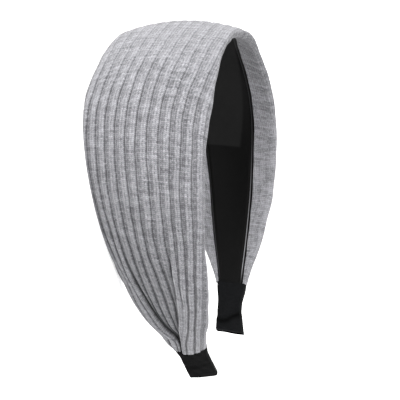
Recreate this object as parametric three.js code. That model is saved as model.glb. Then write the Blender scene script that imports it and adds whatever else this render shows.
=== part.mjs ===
// Wide knit headband: a springy curved band under a folded rib-knit cover, with a ribbon sleeve on each tip.
// The arch is worked out upright first, with x across the head, y towards the brow and z up, and its crown
// at the origin. It is then laid on its front edge, as it rests by itself on a table.
import * as THREE from 'three';

// Driving dimensions, in millimetres and degrees
const knitThickness = 1.8;
const bandThickness = 1.6;
const bandTipThickness = 1.4;
const rimHeight = 0.4;
const rimWidth = 1.6;
const rimSlope = 0.6;
const clearance = 0.3;
const ribPitch = 4.6;
const ribCrest = 0.28;
const ribValley = 0.42;
const firstValley = -19;
const hemReach = 1.4;
const marginEnd = 171.3;
const hemEnd = 172.6;
const sleeveStart = 171.6;
const sleeveEnd = 195.6;
const sleeveWall = 0.8;
const sleeveDepth = 2.25;
const bandEnd = 194;
const restTilt = 16;
const restShiftY = 67.77;
const restHeight = 39.6;

// The arch from crown to tip. along: distance from the crown. bend: curve of the arch in degrees per mm.
// sweep: how far its middle line lies towards the brow. tilt: how far the cloth turns to face the brow.
// crowning: curve across the width in degrees per mm.
const ARCH = [
  { along: 0, bend: 0.68, sweep: 3, tilt: 3.3, crowning: 0.6 },
  { along: 16, bend: 0.75, sweep: 3.5, tilt: 2.6, crowning: 0.8 },
  { along: 50, bend: 0.91, sweep: 5.4, tilt: 1.8, crowning: 1.06 },
  { along: 99, bend: 1.08, sweep: -1.3, tilt: 5.4, crowning: 1.08 },
  { along: 132, bend: 0.46, sweep: -5.2, tilt: 8.7, crowning: 1.01 },
  { along: 148, bend: 0.24, sweep: -7.5, tilt: 6.2, crowning: 0.86 },
  { along: 173, bend: 0.25, sweep: -11.1, tilt: -4.7, crowning: 0.46 },
  { along: 198, bend: 0.31, sweep: -14.9, tilt: -20.5, crowning: 0 },
];

// Widths either side of the middle line. seat: how deep the inner band lies under the outside of the cloth.
const WIDTHS = [
  { along: 0, rear: 19.4, front: 30.6, bandRear: 13.2, bandFront: 23.2, seat: 2.1 },
  { along: 16, rear: 20.1, front: 32.4, bandRear: 12.7, bandFront: 23.1, seat: 2.1 },
  { along: 50, rear: 23.5, front: 32.1, bandRear: 12.5, bandFront: 20.2, seat: 2.1 },
  { along: 99, rear: 20.8, front: 29.5, bandRear: 10.7, bandFront: 12.5, seat: 2.1 },
  { along: 116, rear: 19.7, front: 27.3, bandRear: 9.7, bandFront: 10.6, seat: 2.1 },
  { along: 130, rear: 18.2, front: 24.6, bandRear: 8.9, bandFront: 9.2, seat: 2.15 },
  { along: 142, rear: 15.8, front: 20.5, bandRear: 7.9, bandFront: 8, seat: 2.35 },
  { along: 152, rear: 13.1, front: 16, bandRear: 7.1, bandFront: 6.8, seat: 2.7 },
  { along: 162, rear: 10.3, front: 11.3, bandRear: 6.4, bandFront: 5.5, seat: 3.1 },
  { along: 171, rear: 8.4, front: 7.2, bandRear: 5.9, bandFront: 4.2, seat: 3.35 },
  { along: 181, rear: 7.4, front: 5.6, bandRear: 4.9, bandFront: 3.4, seat: 3.35 },
  { along: 198, rear: 7.4, front: 5.6, bandRear: 4.9, bandFront: 3.6, seat: 3.35 },
];

// Where the gathers run. pleat: the edge of the rear bundle, which laps over the sunken middle.
// crease: the deep furrow between the middle and the front bundle. The last three are heights.
const GATHERS = [
  { along: 0, pleat: -5.2, crease: 17.8, rearLift: 0, frontLift: 0, furrow: 0 },
  { along: 105, pleat: -5.2, crease: 17.8, rearLift: 0, frontLift: 0, furrow: 0 },
  { along: 120, pleat: -5.7, crease: 15.4, rearLift: 0.6, frontLift: 0.3, furrow: 0.3 },
  { along: 130, pleat: -6, crease: 13.2, rearLift: 1.2, frontLift: 0.8, furrow: 0.7 },
  { along: 143, pleat: -3.9, crease: 9.8, rearLift: 1.8, frontLift: 1.3, furrow: 1 },
  { along: 154, pleat: -1.2, crease: 6, rearLift: 2.3, frontLift: 1.7, furrow: 1 },
  { along: 163, pleat: 1.1, crease: 2.6, rearLift: 2.5, frontLift: 1.6, furrow: 0.6 },
  { along: 171, pleat: 3.4, crease: 4.4, rearLift: 1.7, frontLift: 1, furrow: 0.3 },
  { along: 177, pleat: 4, crease: 4.8, rearLift: 0.6, frontLift: 0.4, furrow: 0.1 },
  { along: 198, pleat: 4, crease: 4.8, rearLift: 0.6, frontLift: 0.4, furrow: 0.1 },
];
const pleatRib = 3;
const creaseRib = 8;
const lastRib = 11;
const pointsPerRib = 3;
const marginPoints = 3;

// The cloth's lower hem at each tip, by rib: it hangs lowest over the rear bundle.
const HEM = [
  { rib: -1, along: 171.7 },
  { rib: 0, along: 171.9 },
  { rib: 1, along: 172.4 },
  { rib: 2, along: 172.6 },
  { rib: 3, along: 172.6 },
  { rib: 5, along: 172.2 },
  { rib: 11, along: 171.8 },
];

// The sleeve's outline, wide at its ends and pulled in at the waist
const SLEEVE = [
  { along: 171.6, rear: 7.9, front: 5.4 },
  { along: 181, rear: 6.2, front: 4.7 },
  { along: 196, rear: 6.6, front: 5.2 },
];

const radians = THREE.MathUtils.degToRad;

// Smooth curve through one column of a table, without overshoot between its rows and level at its first row
function curveThrough(rows, key, column) {
  const count = rows.length;
  const gap = [];
  const slope = [];
  for (let i = 0; i < count - 1; i++) {
    gap.push(rows[i + 1][key] - rows[i][key]);
    slope.push((rows[i + 1][column] - rows[i][column]) / gap[i]);
  }
  const tangent = rows.map((_, i) => {
    if (i === 0) return 0;
    if (i === count - 1) return slope[count - 2];
    if (slope[i - 1] * slope[i] <= 0) return 0;
    const before = 2 * gap[i] + gap[i - 1];
    const after = gap[i] + 2 * gap[i - 1];
    return (before + after) / (before / slope[i - 1] + after / slope[i]);
  });
  return (at) => {
    const last = count - 2;
    let i = rows.findIndex((row, k) => k > 0 && at <= row[key]) - 1;
    if (i < 0) i = last;
    const t = THREE.MathUtils.clamp((at - rows[i][key]) / gap[i], 0, 1);
    const u = 1 - t;
    return rows[i][column] * (1 + 2 * t) * u * u + rows[i + 1][column] * t * t * (3 - 2 * t)
      + gap[i] * (tangent[i] * t * u * u - tangent[i + 1] * t * t * u);
  };
}

function curves(rows, key) {
  const columns = Object.keys(rows[0]).filter((name) => name !== key);
  return Object.fromEntries(columns.map((name) => [name, curveThrough(rows, key, name)]));
}

const arch = curves(ARCH, 'along');
const width = curves(WIDTHS, 'along');
const gather = curves(GATHERS, 'along');
const hem = curves(HEM, 'rib');
const sleeve = curves(SLEEVE, 'along');

// The arch's middle line, walked in short steps from the crown
const archStep = 0.5;
const archLine = [{ x: 0, z: 0, turn: 0 }];
for (let along = archStep; along <= 200; along += archStep) {
  const last = archLine[archLine.length - 1];
  const turn = last.turn + radians(arch.bend(along - archStep / 2)) * archStep;
  const mean = (turn + last.turn) / 2;
  archLine.push({ x: last.x + Math.cos(mean) * archStep, z: last.z - Math.sin(mean) * archStep, turn });
}

function archAt(along) {
  const place = along / archStep;
  const i = Math.min(Math.floor(place), archLine.length - 2);
  const t = place - i;
  const mix = (name) => archLine[i][name] * (1 - t) + archLine[i + 1][name] * t;
  return { x: mix('x'), z: mix('z'), turn: mix('turn') };
}

// A point of the upright arch: station is signed along the arch, across runs to the brow, depth goes inwards
function archPoint(station, across, depth) {
  const along = Math.abs(station);
  const side = station < 0 ? -1 : 1;
  const { x, z, turn } = archAt(along);
  const tilt = radians(arch.tilt(along));
  const crowning = Math.max(radians(arch.crowning(along)), 1e-5);
  const lean = across * crowning + tilt;
  const y = arch.sweep(along) + (Math.sin(lean) - Math.sin(tilt)) / crowning - depth * Math.sin(lean);
  const rise = (Math.cos(lean) - Math.cos(tilt)) / crowning - depth * Math.cos(lean);
  return new THREE.Vector3((x + rise * Math.sin(turn)) * side, y, z + rise * Math.cos(turn));
}

// Lays a point of the upright arch on its front edge
function layDown(point) {
  const c = Math.cos(radians(restTilt));
  const s = Math.sin(radians(restTilt));
  return new THREE.Vector3(point.x, s * point.y + c * point.z + restShiftY, s * point.z - c * point.y + restHeight);
}

// Triangles that fill a flat outline, wound the same way as the outline itself
function fillOutline(outline) {
  const triangles = THREE.ShapeUtils.triangulateShape(outline, []);
  const [a, b, c] = triangles[0].map((i) => outline[i]);
  const sameWay = (b.clone().sub(a).cross(c.clone().sub(a)) > 0) === (THREE.ShapeUtils.area(outline) > 0);
  return sameWay ? triangles : triangles.map(([i, j, k]) => [i, k, j]);
}

// A closed body through rings of points, with both ends capped by the flat outlines given
function loft(rings, firstOutline, lastOutline) {
  const positions = rings.flat().flatMap((p) => [p.x, p.y, p.z]);
  const count = rings[0].length;
  const indices = [];
  for (let i = 0; i < rings.length - 1; i++) {
    for (let j = 0; j < count; j++) {
      const a = i * count + j;
      const b = i * count + ((j + 1) % count);
      indices.push(a, b, a + count, b, b + count, a + count);
    }
  }
  const start = (rings.length - 1) * count;
  for (const [a, b, c] of fillOutline(firstOutline)) indices.push(a, c, b);
  for (const [a, b, c] of fillOutline(lastOutline)) indices.push(start + a, start + b, start + c);
  const geometry = new THREE.BufferGeometry();
  geometry.setAttribute('position', new THREE.Float32BufferAttribute(positions, 3));
  geometry.setIndex(indices);
  return geometry;
}

function piece(name, geometry, material) {
  const faceted = geometry.toNonIndexed();
  faceted.computeVertexNormals();
  const mesh = new THREE.Mesh(faceted, material);
  mesh.name = name;
  return mesh;
}

// Where a rib line lies across the cloth. Its pitch narrows in each bundle towards the tips.
function ribAcross(rib, along) {
  const rearRib = -0.4;
  const frontRib = 10.5;
  const even = firstValley + rib * ribPitch;
  const pull = THREE.MathUtils.smoothstep(along, 95, 112);
  const marks = [
    { rib: rearRib, across: -width.rear(along) },
    { rib: pleatRib, across: gather.pleat(along) },
    { rib: creaseRib, across: gather.crease(along) },
    { rib: frontRib, across: width.front(along) },
  ];
  let i = marks.findIndex((mark, k) => k > 0 && rib <= mark.rib) - 1;
  if (i < 0) i = rib > frontRib ? 2 : 0;
  const t = (rib - marks[i].rib) / (marks[i + 1].rib - marks[i].rib);
  const pulled = marks[i].across + (marks[i + 1].across - marks[i].across) * t;
  return even + (pulled - even) * pull;
}

// How far the cloth stands proud of its plain curve, from its ribs and its gathered bundles
function clothLift(rib, along) {
  const phase = rib - Math.floor(rib + 1e-6);
  const relief = phase < 0.1 ? -ribValley : ribCrest;
  if (rib < pleatRib + 0.1) {
    return relief + gather.rearLift(along) * THREE.MathUtils.smoothstep(rib, -0.8, 0.8);
  }
  if (Math.abs(rib - creaseRib) < 0.1) return relief - gather.furrow(along);
  if (rib > creaseRib) {
    return relief + gather.frontLift(along) * (1 - THREE.MathUtils.smoothstep(rib, 9.5, 10.8));
  }
  return relief;
}

// Follows the cloth from the outer face round a turned hem and back along the inner margin.
// reach: distance out from the middle line. Returns the place across and the depth.
function roundHem(reach, edge, innerDepth) {
  const bend = edge - hemReach;
  const half = innerDepth / 2;
  const arc = Math.PI * (hemReach + half) / 2;
  if (reach <= bend) return { across: reach, depth: 0, onFace: 1 };
  if (reach < bend + arc) {
    const angle = (reach - bend) / arc * Math.PI;
    return {
      across: bend + hemReach * Math.sin(angle),
      depth: half * (1 - Math.cos(angle)),
      onFace: Math.max(0, Math.cos(angle)),
    };
  }
  return { across: bend - (reach - bend - arc), depth: innerDepth, onFace: 0 };
}

// One closed section of the cloth, as { across, depth, rib } points, going round from the rear margin
// over the outer face to the front margin and back under the inner band
function clothSection(along, gathered) {
  const bandDepth = bandThicknessAt(along);
  const ceiling = gathered ? knitThickness : width.seat(along) - clearance;
  const inner = gathered ? knitThickness + 0.15 : width.seat(along) + bandDepth;
  const rearEdge = width.rear(along);
  const frontEdge = width.front(along);
  const rearStop = width.bandRear(along) + clearance;
  const frontStop = width.bandFront(along) + clearance;
  const lengthRound = (edge, stop) => edge - hemReach + Math.PI * (hemReach + inner / 2) / 2 + (edge - hemReach - stop);
  const section = [];
  const lines = [];
  for (let k = -2; k <= lastRib * pointsPerRib; k++) lines.push(k / pointsPerRib);
  const reachRear = -ribAcross(lines[0], along);
  const reachFront = ribAcross(lastRib, along);
  const rearTotal = lengthRound(rearEdge, rearStop);
  const frontTotal = lengthRound(frontEdge, frontStop);
  for (let k = 0; k < marginPoints; k++) {
    const reach = rearTotal + (reachRear - rearTotal) * k / marginPoints;
    const { across, depth } = roundHem(reach, rearEdge, inner);
    section.push({ across: -across, depth, rib: -1 });
  }
  for (const rib of lines) {
    const place = ribAcross(rib, along);
    const edge = place < 0 ? rearEdge : frontEdge;
    const { across, depth, onFace } = roundHem(Math.abs(place), edge, inner);
    section.push({ across: Math.sign(place) * across, depth: depth - clothLift(rib, along) * onFace, rib });
  }
  for (let k = 1; k <= marginPoints; k++) {
    const reach = reachFront + (frontTotal - reachFront) * k / marginPoints;
    const { across, depth } = roundHem(reach, frontEdge, inner);
    section.push({ across, depth, rib: lastRib });
  }
  const middle = (frontStop - rearStop) / 2;
  section.push({ across: frontStop, depth: ceiling, rib: 9 });
  section.push({ across: middle, depth: ceiling, rib: creaseRib - 3 });
  section.push({ across: -rearStop, depth: ceiling, rib: 1 });
  return section;
}

function bandThicknessAt(along) {
  return THREE.MathUtils.lerp(bandThickness, bandTipThickness, THREE.MathUtils.smoothstep(along, 130, marginEnd));
}

// Stations along half the arch, closer together where the cloth is gathered
function halfStations() {
  const stations = [];
  for (let along = 6; along < 108; along += 6) stations.push(along);
  for (let along = 108; along < 168; along += 4) stations.push(along);
  stations.push(168, 170, marginEnd);
  return stations;
}

function makeKnitCover() {
  const half = halfStations().map((along) => ({ along, gathered: false }));
  for (const along of [marginEnd + 0.05, 172, hemEnd]) half.push({ along, gathered: true });
  const whole = [
    ...half.map((station) => ({ ...station, side: -1 })).reverse(),
    { along: 0, gathered: false, side: 1 },
    ...half.map((station) => ({ ...station, side: 1 })),
  ];
  const ringAt = ({ along, gathered, side }) => clothSection(along, gathered).map((point) => {
    const share = Math.max(0, (along - marginEnd - 0.05) / (hemEnd - marginEnd - 0.05));
    const reached = gathered ? marginEnd + 0.05 + share * (hem.along(point.rib) - marginEnd - 0.05) : along;
    const laid = layDown(archPoint(reached * side, point.across, point.depth));
    laid.z = Math.max(laid.z, 0);
    return laid;
  });
  const endOutline = clothSection(hemEnd, true).map((point) => new THREE.Vector2(point.across, -point.depth));
  return loft(whole.map(ringAt), endOutline, endOutline);
}

function makeInnerBand() {
  const ringAt = (station) => {
    const along = Math.abs(station);
    const top = width.seat(along);
    const floor = top + bandThicknessAt(along);
    const rim = along < marginEnd - 6 ? rimHeight : 0.02;
    const rear = width.bandRear(along);
    const front = width.bandFront(along);
    const section = [
      [-rear, top], [(front - rear) / 2, top], [front, top],
      [front, floor + rim], [front - rimWidth, floor + rim], [front - rimWidth - rimSlope, floor],
      [(front - rear) / 2, floor],
      [-rear + rimWidth + rimSlope, floor], [-rear + rimWidth, floor + rim], [-rear, floor + rim],
    ];
    return section;
  };
  const half = [...halfStations(), 175, 181, 187, bandEnd];
  const stations = [...half.map((along) => -along).reverse(), 0, ...half];
  const rings = stations.map((station) => ringAt(station).map(([across, depth]) => {
    return layDown(archPoint(station, across, depth));
  }));
  const outline = ringAt(bandEnd).map(([across, depth]) => new THREE.Vector2(across, -depth));
  return loft(rings, outline, outline);
}

// A flat sleeve with a pocket for the band's tip, closed at its lower end
function makeEndSleeve(side) {
  const outerFloor = sleeveDepth + 2 * sleeveWall + 2 * clearance + bandTipThickness;
  const roundPoints = 4;
  const sectionAt = (along, inset) => {
    const rear = sleeve.rear(along) - inset;
    const front = sleeve.front(along) - inset;
    const top = sleeveDepth + inset;
    const floor = outerFloor - inset;
    const half = (floor - top) / 2;
    const points = [];
    for (let k = 0; k <= roundPoints; k++) {
      const angle = Math.PI * k / roundPoints;
      const bulge = Math.min(half, 0.9) * Math.sin(angle);
      points.push([front - Math.min(half, 0.9) + bulge, top + half * (1 - Math.cos(angle))]);
    }
    for (let k = 0; k <= roundPoints; k++) {
      const angle = Math.PI * k / roundPoints;
      const bulge = Math.min(half, 0.9) * Math.sin(angle);
      points.push([-rear + Math.min(half, 0.9) - bulge, floor - half * (1 - Math.cos(angle))]);
    }
    return points;
  };
  const levels = [sleeveStart, 174, 177, 181, 185, 189, 193];
  const rows = [
    { along: bandEnd + clearance, inset: sleeveWall },
    ...levels.map((along) => ({ along, inset: sleeveWall })).reverse(),
    ...levels.map((along) => ({ along, inset: 0 })),
    { along: sleeveEnd, inset: 0 },
  ];
  const rings = rows.map(({ along, inset }) => sectionAt(along, inset).map(([across, depth]) => {
    return layDown(archPoint(along * side, across, depth));
  }));
  const outline = (row) => sectionAt(row.along, row.inset).map(([a, d]) => new THREE.Vector2(a, -d));
  const geometry = loft(rings, outline(rows[0]), outline(rows[rows.length - 1]));
  return geometry;
}

// Turns a mesh's faces to point out where its rings were walked the other way
function facingOut(geometry) {
  const position = geometry.getAttribute('position');
  const index = geometry.getIndex().array;
  const corner = [new THREE.Vector3(), new THREE.Vector3(), new THREE.Vector3()];
  let volume = 0;
  for (let i = 0; i < index.length; i += 3) {
    corner.forEach((v, k) => v.fromBufferAttribute(position, index[i + k]));
    volume += corner[0].dot(corner[1].clone().cross(corner[2]));
  }
  if (volume < 0) {
    for (let i = 0; i < index.length; i += 3) [index[i], index[i + 1]] = [index[i + 1], index[i]];
  }
  return geometry;
}

const heatherKnit = new THREE.MeshStandardMaterial({ color: 0x9a9a9e, roughness: 0.95, metalness: 0 });
const blackBand = new THREE.MeshStandardMaterial({ color: 0x17171a, roughness: 0.55, metalness: 0 });
const blackRibbon = new THREE.MeshStandardMaterial({ color: 0x141416, roughness: 0.8, metalness: 0 });

const headband = new THREE.Group();
headband.add(piece('knit_cover', facingOut(makeKnitCover()), heatherKnit));
headband.add(piece('inner_band', facingOut(makeInnerBand()), blackBand));
headband.add(piece('end_sleeve_left', facingOut(makeEndSleeve(-1)), blackRibbon));
headband.add(piece('end_sleeve_right', facingOut(makeEndSleeve(1)), blackRibbon));

export default headband;
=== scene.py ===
"""Wide knit headband: a rib-knit cover, a springy inner band and a ribbon sleeve on each tip, in a studio."""

import math

import bpy
import numpy as np
from bpy.props import FloatProperty, FloatVectorProperty, PointerProperty
from mathutils import Matrix, Vector


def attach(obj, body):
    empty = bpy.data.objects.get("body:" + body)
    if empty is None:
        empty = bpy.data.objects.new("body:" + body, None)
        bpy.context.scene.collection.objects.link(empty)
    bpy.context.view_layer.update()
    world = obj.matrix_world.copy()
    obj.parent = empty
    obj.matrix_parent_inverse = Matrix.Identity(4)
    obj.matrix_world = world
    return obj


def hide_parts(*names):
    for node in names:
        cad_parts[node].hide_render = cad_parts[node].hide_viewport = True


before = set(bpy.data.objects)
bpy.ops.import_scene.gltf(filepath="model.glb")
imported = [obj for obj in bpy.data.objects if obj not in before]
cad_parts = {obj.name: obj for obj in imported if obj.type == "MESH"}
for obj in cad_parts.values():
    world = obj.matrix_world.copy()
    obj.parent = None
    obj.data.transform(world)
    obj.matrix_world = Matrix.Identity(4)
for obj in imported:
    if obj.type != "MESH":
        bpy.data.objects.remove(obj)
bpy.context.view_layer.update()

bl_info = {
    "name": "Wide knit headband",
    "version": (1, 0, 0),
    "blender": (4, 5, 0),
    "location": "3D View > Sidebar > Headband",
    "description": "Makes a gathered rib-knit headband with its inner band, ribbon sleeves and studio",
    "category": "Object",
}

# Sizes of the pieces are in millimetres and degrees until they reach a mesh. The stage and the bumps of the
# looks are in metres.
MM = 0.001
BAND_THICKNESS = 1.6
BAND_TIP_THICKNESS = 1.4
CLEARANCE = 0.3
RIB_PITCH = 4.6

# Distances from the crown: where the lower hem's shape begins, where the inner margins and the band end,
# and where the sleeves begin and end
HEM_START = 160.0
MARGIN_END = 171.3
BAND_END = 192.3
SLEEVE_START = 171.4
SLEEVE_END = 195.6

# The thickness of the sleeves' wall, and how deep under the outside of the cloth they begin
SLEEVE_WALL = 0.8
SLEEVE_DEPTH = 2.25

# How the upright arch is laid on its front edge
REST_TILT = 16.0
REST_SHIFT_Y = 67.77
REST_HEIGHT = 39.6

# Ribs are counted across the cloth from the rear. The rear bundle is folded at valley 3, valley 8 is the deep
# crease, and the columns of the outer face run from the first line to the last one.
PLEAT_RIB = 3
CREASE_RIB = 8
FIRST_LINE = -0.75
LAST_LINE = 11.0

# Where each change along a leg begins and where it is complete
# Some changes grow painted shade, painted light inside and the band's painted highlight
CHANGES = {
    "hem_rises": (2, 48),
    "ribs_spread": (10, 60),
    "valleys_darken": (10, 55),
    "inside_pales": (40, 130),
    "middle_darkens": (88, 138),
    "ribs_deepen": (90, 130),
    "valleys_close": (95, 130),
    "margin_ribs": (100, 150),
    "rim_highlight_grows": (100, 165),
    "pleat_opens": (105, 126),
    "pleat_smooth": (108, 122),
    "lines_darken": (118, 150),
    "valley_two_fills": (125, 150),
    "band_pales": (125, 170),
    "band_thins": (130, MARGIN_END),
    "crease_widens": (140, 158),
    "ribs_flatten": (167, MARGIN_END),
    "sleeve_buckles": (173, 178),
}

# The arch from crown to tip. along: distance from the crown. bend: curve in degrees per mm. sweep: how far
# the middle line lies towards the brow. tilt: turn to face the brow. crowning: curve across the width.
ARCH = [
    {"along": 0, "bend": 0.68, "sweep": 3.0, "tilt": 3.3, "crowning": 0.5},
    {"along": 16, "bend": 0.75, "sweep": 3.5, "tilt": 2.6, "crowning": 0.72},
    {"along": 50, "bend": 0.91, "sweep": 5.4, "tilt": 1.8, "crowning": 1.06},
    {"along": 99, "bend": 1.08, "sweep": -1.3, "tilt": 5.4, "crowning": 1.08},
    {"along": 132, "bend": 0.46, "sweep": -5.2, "tilt": 8.7, "crowning": 1.01},
    {"along": 148, "bend": 0.24, "sweep": -7.5, "tilt": 6.2, "crowning": 0.86},
    {"along": 173, "bend": 0.25, "sweep": -11.1, "tilt": -4.7, "crowning": 0.46},
    {"along": 198, "bend": 0.31, "sweep": -14.9, "tilt": -20.5, "crowning": 0.0},
]

# Widths either side of the middle line. seat: how deep the inner band lies under the outside of the cloth.
WIDTHS = [
    {"along": 0, "rear": 19.4, "front": 30.6, "band_rear": 15.6, "band_front": 23.2, "seat": 2.1},
    {"along": 16, "rear": 20.1, "front": 32.4, "band_rear": 15.5, "band_front": 23.1, "seat": 2.1},
    {"along": 50, "rear": 23.5, "front": 32.1, "band_rear": 14.8, "band_front": 20.3, "seat": 2.1},
    {"along": 99, "rear": 20.8, "front": 29.5, "band_rear": 11.0, "band_front": 13.2, "seat": 2.1},
    {"along": 116, "rear": 19.7, "front": 27.3, "band_rear": 9.7, "band_front": 11.5, "seat": 2.1},
    {"along": 130, "rear": 18.2, "front": 24.6, "band_rear": 8.9, "band_front": 10.3, "seat": 2.15},
    {"along": 142, "rear": 15.8, "front": 20.5, "band_rear": 7.9, "band_front": 9.2, "seat": 2.35},
    {"along": 152, "rear": 13.1, "front": 16.0, "band_rear": 7.1, "band_front": 7.9, "seat": 2.7},
    {"along": 162, "rear": 10.3, "front": 11.3, "band_rear": 6.4, "band_front": 6.1, "seat": 3.1},
    {"along": 171, "rear": 8.4, "front": 7.2, "band_rear": 5.9, "band_front": 4.5, "seat": 3.35},
    {"along": 181, "rear": 7.4, "front": 5.6, "band_rear": 4.9, "band_front": 3.4, "seat": 3.35},
    {"along": 198, "rear": 7.4, "front": 5.6, "band_rear": 4.9, "band_front": 3.6, "seat": 3.35},
]

# How much further in than those widths the hems lie on each leg, or further out where the number is below 0
HEMS_IN = [
    {"along": 0, "left_rear": 1.0, "right_rear": 1.0, "left_front": -1.2, "right_front": -1.2},
    {"along": 7, "left_rear": 1.3, "right_rear": 1.3, "left_front": -1.3, "right_front": -1.2},
    {"along": 13, "left_rear": 1.2, "right_rear": 1.0, "left_front": -1.2, "right_front": -1.1},
    {"along": 20, "left_rear": 0.8, "right_rear": 0.3, "left_front": -1.0, "right_front": -0.9},
    {"along": 36, "left_rear": 0.1, "right_rear": -0.5, "left_front": -0.7, "right_front": -0.5},
    {"along": 52, "left_rear": -0.7, "right_rear": -0.5, "left_front": -0.8, "right_front": -0.2},
    {"along": 64, "left_rear": -0.8, "right_rear": -0.6, "left_front": -1.1, "right_front": 0},
    {"along": 85, "left_rear": -0.5, "right_rear": -0.5, "left_front": -0.8, "right_front": 0},
    {"along": 105, "left_rear": 0, "right_rear": -0.3, "left_front": -0.1, "right_front": 0},
    {"along": 120, "left_rear": 0, "right_rear": 0.2, "left_front": 0.3, "right_front": 1.0},
    {"along": 130, "left_rear": 0, "right_rear": 0.2, "left_front": 0.2, "right_front": 1.0},
    {"along": 144, "left_rear": 0, "right_rear": 0.8, "left_front": 0.2, "right_front": 1.0},
    {"along": 160, "left_rear": 0, "right_rear": 0.3, "left_front": 0.1, "right_front": 1.0},
    {"along": 171, "left_rear": 0, "right_rear": 0, "left_front": 0, "right_front": 0},
]

# How the cloth is drawn together at each tip. rear, middle and front: heights of the three stretches.
# furrow: depth of the crease beside the front one. lap: how far the rear one's fold overhangs. tuck: how
# much further in the hems are drawn than the widths above.
GATHERS = [
    {"along": 0, "rear": 0, "middle": 0, "front": 0, "furrow": 0, "lap": 0, "tuck": 0},
    {"along": 104, "rear": 0, "middle": 0, "front": 0, "furrow": 0, "lap": 0, "tuck": 0},
    {"along": 120, "rear": 0.7, "middle": -0.1, "front": 0.4, "furrow": 0.4, "lap": 0.4, "tuck": 0},
    {"along": 130, "rear": 1.3, "middle": -0.4, "front": 0.9, "furrow": 0.8, "lap": 1.0, "tuck": 0},
    {"along": 143, "rear": 1.9, "middle": -0.8, "front": 1.3, "furrow": 1.2, "lap": 1.7, "tuck": 0},
    {"along": 154, "rear": 2.2, "middle": -0.9, "front": 1.5, "furrow": 1.3, "lap": 2.2, "tuck": 0.2},
    {"along": 163, "rear": 2.0, "middle": -0.9, "front": 1.2, "furrow": 0.9, "lap": 2.2, "tuck": 0.9},
    {"along": 173, "rear": 0.9, "middle": -0.2, "front": 0.3, "furrow": 0.2, "lap": 1.4, "tuck": 0.8},
]

# Where each valley between ribs lies across the cloth, from the rear edge to the brow
VALLEYS = [-1, 0, 1, 2, 3, 4, 5, 6, 7, 8, 9, 10, 11]
VALLEY_LINES = [
    {"along": 0, "across": (-23.6, -19.0, -14.4, -9.8, -5.2, -0.6, 4.0, 8.6, 13.2, 17.8, 22.4, 27.0, 31.6)},
    {"along": 65, "across": (-23.4, -18.8, -14.2, -9.7, -5.2, -0.6, 4.0, 8.6, 13.2, 17.8, 22.4, 27.0, 31.6)},
    {"along": 90, "across": (-21.9, -17.5, -12.9, -8.9, -5.1, -0.8, 4.1, 8.3, 12.8, 17.7, 22.2, 26.6, 31.0)},
    {"along": 105, "across": (-20.2, -16.5, -12.5, -8.6, -5.3, -0.7, 3.5, 7.5, 11.9, 16.8, 20.7, 25.1, 29.2)},
    {"along": 115, "across": (-18.9, -15.4, -12.0, -8.5, -5.6, -1.4, 2.9, 6.8, 10.8, 15.7, 19.0, 23.4, 27.4)},
    {"along": 125, "across": (-17.5, -14.2, -11.0, -7.9, -5.5, -2.2, 1.8, 6.0, 10.0, 14.4, 16.9, 20.4, 24.6)},
    {"along": 135, "across": (-15.6, -12.6, -9.5, -7.1, -4.7, -2.6, 1.2, 5.3, 9.4, 12.6, 14.2, 17.0, 21.4)},
    {"along": 145, "across": (-13.1, -10.0, -7.4, -5.2, -3.1, -1.8, 1.2, 5.1, 8.2, 10.1, 11.0, 15.3, 18.8)},
    {"along": 155, "across": (-10.0, -7.5, -4.6, -2.5, -0.8, -0.2, 1.2, 3.9, 5.6, 6.6, 7.4, 11.3, 14.3)},
    {"along": 163, "across": (-8.0, -5.4, -1.9, -0.3, 0.6, 0.1, 0.5, 0.9, 1.3, 1.9, 2.6, 5.8, 9.0)},
    {"along": 173, "across": (-5.9, -2.6, 1.0, 2.0, 2.7, 2.3, 2.6, 2.8, 3.0, 3.2, 4.0, 5.6, 7.5)},
]

# The cloth's lower hem at each tip, by rib
HEM = [
    {"rib": -2, "along": 168.6},
    {"rib": -1, "along": 168.9},
    {"rib": 0, "along": 171.0},
    {"rib": 1, "along": 172.1},
    {"rib": 3, "along": 172.3},
    {"rib": 5, "along": 171.6},
    {"rib": 9, "along": 171.4},
    {"rib": 11, "along": 170.6},
]

# Each sleeve's outline, wide at its ends and pulled in at the waist. low: where its lower end lies.
SLEEVES = {
    "left": [
        {"along": 171.9, "rear": 6.9, "front": 7.3, "low": 196.4},
        {"along": 181, "rear": 5.8, "front": 5.9, "low": 196.4},
        {"along": 196, "rear": 5.6, "front": 5.7, "low": 196.4},
    ],
    "right": [
        {"along": 171.9, "rear": 7.5, "front": 5.4, "low": 193.0},
        {"along": 181, "rear": 6.1, "front": 4.5, "low": 193.0},
        {"along": 196, "rear": 9.0, "front": 4.6, "low": 193.0},
    ],
}


def smooth(low, high, value):
    """Rises from 0 at low to 1 at high with level ends."""
    t = np.clip((np.asarray(value, float) - low) / (high - low), 0, 1)
    return t * t * (3 - 2 * t)


def ramp(low, high, value):
    """The same rise for one number."""
    return float(smooth(low, high, value))


def change(name, along):
    """How far one of the changes along a leg has come."""
    return ramp(*CHANGES[name], along)


def hump(distance, spread):
    """1 at no distance, and fading out on both sides."""
    return np.exp(-((distance / spread) ** 2))


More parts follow.
